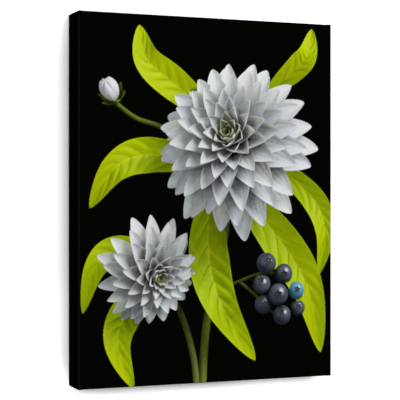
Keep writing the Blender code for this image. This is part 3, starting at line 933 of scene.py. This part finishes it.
class Finish:
    """A material and short ways to add nodes to it."""

    def __init__(self, name, roughness=0.6, metallic=0.0, specular=0.5):
        self.material = bpy.data.materials.new(name)
        self.material.use_nodes = True
        self.tree = self.material.node_tree
        self.shader = self.tree.nodes["Principled BSDF"]
        self.shader.inputs["Roughness"].default_value = roughness
        self.shader.inputs["Metallic"].default_value = metallic
        self.shader.inputs["Specular IOR Level"].default_value = specular

    def set(self, socket, value):
        if isinstance(value, bpy.types.NodeSocket):
            self.tree.links.new(value, socket)
        elif isinstance(value, (tuple, list)) and len(value) == 3 and len(getattr(socket, "default_value", ())) == 4:
            socket.default_value = (*value, 1.0)
        else:
            socket.default_value = value

    def node(self, kind, values=(), **settings):
        node = self.tree.nodes.new(kind)
        for key, value in settings.items():
            setattr(node, key, value)
        for key, value in dict(values).items():
            self.set(node.inputs[key], value)
        return node

    def place(self, scale=(1, 1, 1), turn=(0, 0, 0), shift=(0, 0, 0), source=None):
        if source is None:
            source = self.node("ShaderNodeTexCoord").outputs["Object"]
        return self.node(
            "ShaderNodeMapping", {"Vector": source, "Scale": scale, "Rotation": turn, "Location": shift}
        ).outputs[0]

    def noise(self, vector, scale=1.0, detail=3.0, roughness=0.5, distortion=0.0):
        return self.node(
            "ShaderNodeTexNoise",
            {"Vector": vector, "Scale": scale, "Detail": detail, "Roughness": roughness, "Distortion": distortion},
        ).outputs["Fac"]

    def math(self, operation, a, b=0.0, c=0.0, clamp=False):
        return self.node(
            "ShaderNodeMath", {0: a, 1: b, 2: c}, operation=operation, use_clamp=clamp
        ).outputs[0]

    def spread(self, value, a, b, c=0.0, d=1.0, smooth=True):
        """Maps a to b onto c to d."""
        return self.node(
            "ShaderNodeMapRange",
            {"Value": value, "From Min": a, "From Max": b, "To Min": c, "To Max": d},
            interpolation_type="SMOOTHSTEP" if smooth else "LINEAR",
        ).outputs[0]

    def mix(self, share, a, b, kind="MIX"):
        node = self.tree.nodes.new("ShaderNodeMix")
        node.data_type, node.blend_type = "RGBA", kind
        self.set(node.inputs[0], share)
        self.set(node.inputs[6], a)
        self.set(node.inputs[7], b)
        return node.outputs[2]

    def ramp(self, value, *stops):
        node = self.node("ShaderNodeValToRGB", {"Fac": value})
        while len(node.color_ramp.elements) < len(stops):
            node.color_ramp.elements.new(0.5)
        for element, (at, colour) in zip(node.color_ramp.elements, stops):
            element.position = at
            element.color = (*colour, 1.0)
        return node.outputs["Color"]

    def split(self, vector):
        return self.node("ShaderNodeSeparateXYZ", {"Vector": vector}).outputs

    def bump(self, height, distance, strength=1.0, after=None):
        values = {"Height": height, "Distance": distance, "Strength": strength}
        if after is not None:
            values["Normal"] = after
        return self.node("ShaderNodeBump", values).outputs[0]

    def done(self, colour=None, roughness=None, normal=None):
        for name, value in (("Base Color", colour), ("Roughness", roughness), ("Normal", normal)):
            if value is not None:
                self.set(self.shader.inputs[name], value)
        return self.material


def weave(f, pitch):
    """A plain weave on the cut cloth: (height of the threads, unevenness of the yarn), 0 to 1."""
    cut = f.node("ShaderNodeUVMap", uv_map="Cut").outputs[0]
    slub_x = f.noise(f.place((90, 1600, 1), source=cut), detail=2)
    slub_z = f.noise(f.place((1600, 90, 1), source=cut), detail=2)
    x, z, _ = f.split(cut)
    px = f.math("ADD", f.math("MULTIPLY", x, math.pi / pitch), f.math("MULTIPLY", slub_z, 0.9))
    pz = f.math("ADD", f.math("MULTIPLY", z, math.pi / pitch), f.math("MULTIPLY", slub_x, 0.9))
    sx, sz = f.math("SINE", px), f.math("SINE", pz)
    # warp over weft where the product is positive, weft over warp where it is negative
    over = f.math("MULTIPLY", sx, sz)
    warp = f.math("MULTIPLY", f.math("ABSOLUTE", f.math("COSINE", f.math("MULTIPLY", px, 0.5))), 1.0)
    cross = f.math("POWER", f.math("ABSOLUTE", over), 0.6)
    height = f.math("ADD", f.math("MULTIPLY", cross, 0.8), f.math("MULTIPLY", f.math("MULTIPLY", over, warp), 0.25))
    yarn = f.math("MULTIPLY", f.math("ADD", slub_x, slub_z), 0.5)
    return height, yarn, cut


def printed_canvas():
    f = Finish("printed_canvas", roughness=0.62, specular=0.0)
    height, yarn, cut = weave(f, 0.55 * MM)
    ink = f.node("ShaderNodeAttribute", attribute_name="print", attribute_type="GEOMETRY").outputs["Color"]
    # ink sits a little thinner on the crowns of the threads and pools between them
    tint = f.math("ADD", f.math("MULTIPLY", height, 0.120), f.math("MULTIPLY", yarn, 0.060))
    tint = f.math("ADD", tint, 0.91)
    colour = f.mix(1.0, ink, f.node("ShaderNodeCombineColor", {0: tint, 1: tint, 2: tint}).outputs[0], "MULTIPLY")
    rough = f.spread(f.noise(f.place((14, 14, 14), source=cut), detail=3), 0.3, 0.7, 0.56, 0.68)
    normal = f.bump(height, 0.06 * MM, 0.6)
    normal = f.bump(f.noise(f.place((22, 22, 22)), detail=2), 0.35 * MM, 0.25, normal)
    return f.done(colour, rough, normal)


def raw_canvas():
    """The cloth's unprimed back: cotton and polyester, with slubs and a few darker fibres."""
    f = Finish("raw_canvas", roughness=0.92, specular=0.2)
    height, yarn, cut = weave(f, 0.55 * MM)
    cloudy = f.noise(f.place((9, 9, 9), source=cut), detail=4)
    colour = f.ramp(yarn, (0.30, (0.60, 0.555, 0.455)), (0.52, (0.700, 0.660, 0.560)), (0.72, (0.770, 0.735, 0.645)))
    # darker in the low gaps between the threads: painted shade
    colour = f.mix(f.spread(height, 0.0, 0.5, 0.42, 0.0), colour, (0.44, 0.40, 0.32))
    colour = f.mix(f.spread(cloudy, 0.35, 0.75, 0.0, 0.35), colour, (0.66, 0.605, 0.49))
    fleck = f.node("ShaderNodeTexVoronoi", {"Vector": f.place((160, 620, 1), turn=(0, 0, 0.4), source=cut), "Scale": 1.0}).outputs["Distance"]
    pick = f.noise(f.place((60, 60, 1), source=cut), detail=0)
    fleck = f.math("MULTIPLY", f.spread(fleck, 0.10, 0.03), f.spread(pick, 0.60, 0.66))
    colour = f.mix(fleck, colour, (0.30, 0.22, 0.13))
    normal = f.bump(height, 0.10 * MM, 0.7)
    normal = f.bump(cloudy, 1.2 * MM, 0.35, normal)
    return f.done(colour, f.spread(yarn, 0.3, 0.7, 0.86, 0.97), normal)


def pine(name, level, middle, pith, knots, joint=None):
    """Planed pine with its grain along the bar.

    level is true for a bar along X. middle is the bar's middle, pith how far the
    tree's middle lies from it across the bar and towards the wall, knots are
    (along, across, radius) from the middle, and joint is where two lengths are
    finger-jointed, along from the middle. Metres."""
    f = Finish(name, roughness=0.62, specular=0.35)
    here = f.place(shift=(-middle[0], -middle[1], -middle[2]))
    x, y, z = f.split(here)
    along, across = (x, z) if level else (z, x)
    bits = f.node("ShaderNodeCombineXYZ", {0: along, 1: across, 2: y}).outputs[0]

    # the tree's axis wanders along the bar, and its rings with it
    bend = f.noise(f.place((5.0, 9.0, 9.0), source=bits), detail=2)
    bend = f.math("MULTIPLY", f.math("SUBTRACT", bend, 0.5), 17 * MM)
    a = f.math("ADD", f.math("ADD", across, -pith[0]), bend)
    b = f.math("ADD", y, -pith[1])
    ring = f.math("SQRT", f.math("ADD", f.math("MULTIPLY", a, a), f.math("MULTIPLY", b, b)))
    dark = None
    for along_k, across_k, radius in knots:
        du = f.math("MULTIPLY", f.math("ADD", along, -along_k), 0.72)
        dv = f.math("ADD", across, -across_k)
        far = f.math("SQRT", f.math("ADD", f.math("MULTIPLY", du, du), f.math("MULTIPLY", dv, dv)))
        push = f.math("EXPONENT", f.math("MULTIPLY", far, -1.0 / (radius * 1.9)))
        ring = f.math("ADD", ring, f.math("MULTIPLY", push, 0.011))
        wobble = f.math("MULTIPLY", f.noise(f.place((240, 240, 240), source=bits), detail=2), radius * 0.35)
        inside = f.spread(f.math("ADD", far, wobble), radius * 1.32, radius * 1.02)
        around = f.math("MULTIPLY", f.spread(far, radius * 2.8, radius * 1.1), 0.38)
        share = f.math("MAXIMUM", inside, around)
        dark = share if dark is None else f.math("MAXIMUM", dark, share)
    pitch = f.math("MULTIPLY", ring, 1 / (2.1 * MM))
    pitch = f.math("ADD", pitch, f.math("MULTIPLY", f.noise(f.place((1.2, 46, 46), source=bits), detail=1), 1.5))
    wave = f.math("FRACT", pitch)
    late = f.math("MULTIPLY", f.spread(wave, 0.25, 0.86), f.spread(wave, 1.0, 0.93))
    each = f.noise(f.place((0.6, 120, 120), source=bits), detail=0)
    late = f.math("MULTIPLY", late, f.spread(each, 0.3, 0.7, 0.35, 1.0))

    fibre = f.noise(f.place((42, 2300, 2300), source=bits), detail=3, roughness=0.6)
    streak = f.noise(f.place((7, 240, 240), source=bits), detail=4, roughness=0.55)
    broad = f.noise(f.place((3.5, 30, 30), source=bits), detail=2)
    colour = f.ramp(
        broad, (0.28, (0.640, 0.425, 0.225)), (0.52, (0.715, 0.500, 0.285)), (0.75, (0.765, 0.570, 0.350))
    )
    colour = f.mix(f.math("MULTIPLY", late, 0.62), colour, (0.425, 0.215, 0.082))
    colour = f.mix(f.spread(streak, 0.42, 0.72, 0.0, 0.30), colour, (0.50, 0.30, 0.140))
    colour = f.mix(f.spread(fibre, 0.50, 0.80, 0.0, 0.30), colour, (0.42, 0.25, 0.125))
    # resin ducts, short dark dashes along the grain
    duct = f.noise(f.place((75, 1900, 1900), shift=(3, 7, 1), source=bits), detail=0)
    colour = f.mix(f.spread(duct, 0.745, 0.80, 0.0, 0.7), colour, (0.24, 0.120, 0.050))
    if dark is not None:
        grain = f.noise(f.place((300, 900, 900), source=bits), detail=2)
        knot = f.mix(grain, (0.115, 0.048, 0.018), (0.30, 0.140, 0.060))
        colour = f.mix(dark, colour, knot)
    # saw and planer marks, faint, across the grain
    chatter = f.math("SINE", f.math("MULTIPLY", f.math("ADD", along, f.math("MULTIPLY", across, 0.15)), 2 * math.pi / (2.6 * MM)))
    chatter = f.math("MULTIPLY", chatter, f.spread(f.noise(f.place((11, 11, 11), source=bits), detail=2), 0.45, 0.65))
    # grime from handling
    grime = f.noise(f.place((26, 26, 26), source=bits), detail=4, roughness=0.6)
    colour = f.mix(f.spread(grime, 0.56, 0.80, 0.0, 0.22), colour, (0.30, 0.21, 0.13))
    height = f.math("ADD", f.math("MULTIPLY", fibre, -0.6), f.math("MULTIPLY", late, 0.5))
    height = f.math("ADD", height, f.math("MULTIPLY", chatter, 0.10))
    if joint is not None:
        zig = f.math("PINGPONG", f.math("ADD", across, 0.1), 1.9 * MM)
        edge = f.math("SUBTRACT", f.math("ADD", along, -joint), f.math("MULTIPLY", zig, 4.6))
        line = f.spread(f.math("ABSOLUTE", edge), 0.75 * MM, 0.15 * MM)
        beyond = f.spread(edge, -0.1 * MM, 0.1 * MM)
        colour = f.mix(f.math("MULTIPLY", beyond, 0.30), colour, (0.60, 0.375, 0.185))
        colour = f.mix(f.math("MULTIPLY", line, 0.62), colour, (0.22, 0.130, 0.065))
        height = f.math("SUBTRACT", height, f.math("MULTIPLY", line, 0.8))
    rough = f.spread(late, 0.0, 1.0, 0.68, 0.52, smooth=False)
    return f.done(colour, rough, f.bump(height, 0.12 * MM, 0.55))


def metal(name, light, dark, roughness, brushed=(1, 1, 1), spangle=0.0):
    """Bare or plated steel: drawn or rolled streaks and dull patches."""
    f = Finish(name, roughness=roughness, metallic=1.0)
    streak = f.noise(f.place(tuple(900 * b for b in brushed)), detail=3, roughness=0.6)
    patch = f.noise(f.place((210, 210, 210)), detail=4, roughness=0.6)
    colour = f.mix(f.spread(patch, 0.38, 0.68), dark, light)
    colour = f.mix(f.spread(streak, 0.35, 0.75, 0.0, 0.22), colour, tuple(0.55 * c for c in dark))
    if spangle:
        cell = f.node("ShaderNodeTexVoronoi", {"Vector": f.place((1, 1, 1)), "Scale": 900.0}).outputs["Color"]
        shade, _, _ = f.split(cell)
        colour = f.mix(f.math("MULTIPLY", shade, spangle), colour, tuple(0.72 * c for c in light))
    rough = f.math("ADD", f.spread(patch, 0.3, 0.75, roughness + 0.13, roughness - 0.05), f.math("MULTIPLY", streak, 0.06))
    return f.done(colour, rough, f.bump(streak, 0.02 * MM, 0.45))


def rubber():
    f = Finish("pad_rubber", roughness=0.62, specular=0.4)
    fine = f.noise(f.place((1800, 1800, 1800)), detail=2)
    dust = f.noise(f.place((240, 240, 240)), detail=4, roughness=0.65)
    colour = f.mix(f.spread(dust, 0.48, 0.74, 0.0, 0.5), (0.028, 0.028, 0.029), (0.115, 0.110, 0.103))
    rough = f.spread(dust, 0.4, 0.75, 0.52, 0.80)
    return f.done(colour, rough, f.bump(fine, 0.05 * MM, 0.5))


def give(name, material):
    """A CAD node takes a better finish through its slots."""
    node = bpy.data.objects[name]
    if not node.material_slots:
        raise RuntimeError(f"{name} has no material slot")
    for slot in node.material_slots:
        slot.link = "OBJECT"
        slot.material = material


def middle_of(name):
    low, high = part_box(name)
    return tuple((low + high) / 2)


def finish_hardware():
    give("stretcher_top", pine("pine_top", True, middle_of("stretcher_top"), (-0.046, -0.012), [(0.088, -0.004, 0.0030)]))
    give("stretcher_bottom", pine("pine_bottom", True, middle_of("stretcher_bottom"), (0.060, 0.022), [(-0.052, -0.008, 0.0042)]))
    give("stretcher_left", pine("pine_left", False, middle_of("stretcher_left"), (0.038, -0.016), [(0.071, 0.009, 0.0034)], joint=-0.058))
    give("stretcher_right", pine("pine_right", False, middle_of("stretcher_right"), (-0.070, 0.010), [(-0.096, -0.008, 0.0028)], joint=0.034))
    wire = metal("staple_steel", (0.60, 0.60, 0.61), (0.43, 0.43, 0.445), 0.32, (1, 0.12, 1))
    zinc = metal("hanger_steel", (0.52, 0.518, 0.50), (0.38, 0.377, 0.358), 0.36, (0.07, 1, 1), spangle=0.35)
    brass = metal("hanger_nails", (0.62, 0.60, 0.55), (0.42, 0.40, 0.36), 0.36)
    foam = rubber()
    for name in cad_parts:
        if name.startswith(("staple_", "joint_staple_")):
            give(name, wire)
        elif name.startswith("hanger_nail"):
            give(name, brass)
        elif name == "hanger":
            give(name, zinc)
        elif name.startswith("pad_"):
            give(name, foam)


# ---------------------------------------------------------------------------
# The wall, the floor and the light
# ---------------------------------------------------------------------------


def plane(name, corners):
    mesh = bpy.data.meshes.new(name)
    mesh.from_pydata(corners, [], [tuple(range(len(corners)))])
    obj = bpy.data.objects.new(name, mesh)
    SCENE.collection.objects.link(obj)
    return obj


def make_stage():
    floor_z = Z_MID - 1.5
    floor = plane("floor", [(-5, -5, floor_z), (5, -5, floor_z), (5, 5, floor_z), (-5, 5, floor_z)])
    f = Finish("floor")
    paint = f.node("ShaderNodeBsdfDiffuse", {"Color": (0.50, 0.495, 0.485)})
    glow = f.node("ShaderNodeEmission", {"Color": (1.0, 0.995, 0.985), "Strength": 0.62})  # a pale, lit backdrop
    both = f.node("ShaderNodeAddShader", {0: paint.outputs[0], 1: glow.outputs[0]})
    f.tree.links.new(both.outputs[0], f.tree.nodes["Material Output"].inputs["Surface"])
    f.tree.nodes.remove(f.shader)
    floor.data.materials.append(f.material)
    floor.visible_diffuse = floor.visible_glossy = False

    # The wall has only its front, so that the back of the print can be seen and lit from behind.
    wall = plane("wall", [(-1.7, Y_WALL, floor_z), (1.7, Y_WALL, floor_z), (1.7, Y_WALL, 1.2), (-1.7, Y_WALL, 1.2)])
    f = Finish("wall")
    tree = f.tree
    paint = f.node("ShaderNodeBsdfDiffuse", {"Color": (1.30, 1.30, 1.30)})  # likewise
    clear = f.node("ShaderNodeBsdfTransparent")
    behind = f.node("ShaderNodeNewGeometry").outputs["Backfacing"]
    mix = f.node("ShaderNodeMixShader", {0: behind, 1: paint.outputs[0], 2: clear.outputs[0]})
    tree.links.new(mix.outputs[0], tree.nodes["Material Output"].inputs["Surface"])
    tree.nodes.remove(f.shader)
    wall.data.materials.append(f.material)
    wall.visible_diffuse = wall.visible_glossy = wall.visible_transmission = wall.visible_shadow = False


def area_light(name, at, aim, size, watts, colour=(1, 1, 1)):
    data = bpy.data.lights.new(name, "AREA")
    data.shape = "RECTANGLE"
    data.size, data.size_y = size
    data.energy = watts
    data.color = colour
    light = bpy.data.objects.new(name, data)
    light.location = at
    light.rotation_euler = (Vector(aim) - Vector(at)).to_track_quat("-Z", "Y").to_euler()
    light.visible_camera = False
    SCENE.collection.objects.link(light)


def make_light():
    middle = Vector((X_MID, Y_FRONT, Z_MID))
    area_light("key", middle + Vector((0.207, -2.5, 0.47)), middle, (1.37, 0.56), 41.5)
    area_light("behind", middle + Vector((0.9, 2.4, 1.1)), middle, (1.6, 1.2), 30)

    # four weak ones close to the wall and facing it, which thin the shadow out towards its ends
    left, right = X_MID - X_HALF, X_MID + X_HALF
    low, high = Z_MID - Z_HALF, Z_MID + Z_HALF
    for name, x, gap, z, size, watts in (
        ("low_side", left - 0.010, 0.030, low + 0.050, (0.012, 0.120), 0.00210),
        ("low_corner", left - 0.008, 0.020, low - 0.008, (0.012, 0.012), 0.00336),
        ("low_right", right - 0.050, 0.036, low - 0.014, (0.090, 0.012), 0.00222),
        ("high_corner", left - 0.012, 0.030, high - 0.006, (0.012, 0.012), 0.00158),
    ):
        at = Vector((x, Y_WALL - gap, z))
        area_light(name, at, at + Vector((0, 1, 0)), size, watts)

    world = bpy.data.worlds.new("studio")
    SCENE.world = world
    world.use_nodes = True
    tree = world.node_tree
    tree.nodes.clear()
    fill = tree.nodes.new("ShaderNodeBackground")
    fill.inputs["Strength"].default_value = 0.462
    shown = tree.nodes.new("ShaderNodeBackground")
    shown.inputs["Color"].default_value = (1, 1, 1, 1)
    fill.inputs["Color"].default_value = (1, 1, 1, 1)
    path = tree.nodes.new("ShaderNodeLightPath")
    mix = tree.nodes.new("ShaderNodeMixShader")
    out = tree.nodes.new("ShaderNodeOutputWorld")
    tree.links.new(path.outputs["Is Camera Ray"], mix.inputs[0])
    tree.links.new(fill.outputs[0], mix.inputs[1])
    tree.links.new(shown.outputs[0], mix.inputs[2])
    tree.links.new(mix.outputs[0], out.inputs["Surface"])

    SCENE.view_settings.view_transform = "Standard"
    SCENE.view_settings.look = "None"


def main():
    place_camera()
    make_stage()
    make_light()
    finish_hardware()

    cloth = make_cloth(draw_picture(still_life(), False))
    cloth.data.materials.append(printed_canvas())
    cloth.data.materials.append(raw_canvas())
    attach(cloth, "root")
    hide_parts("canvas")


main()
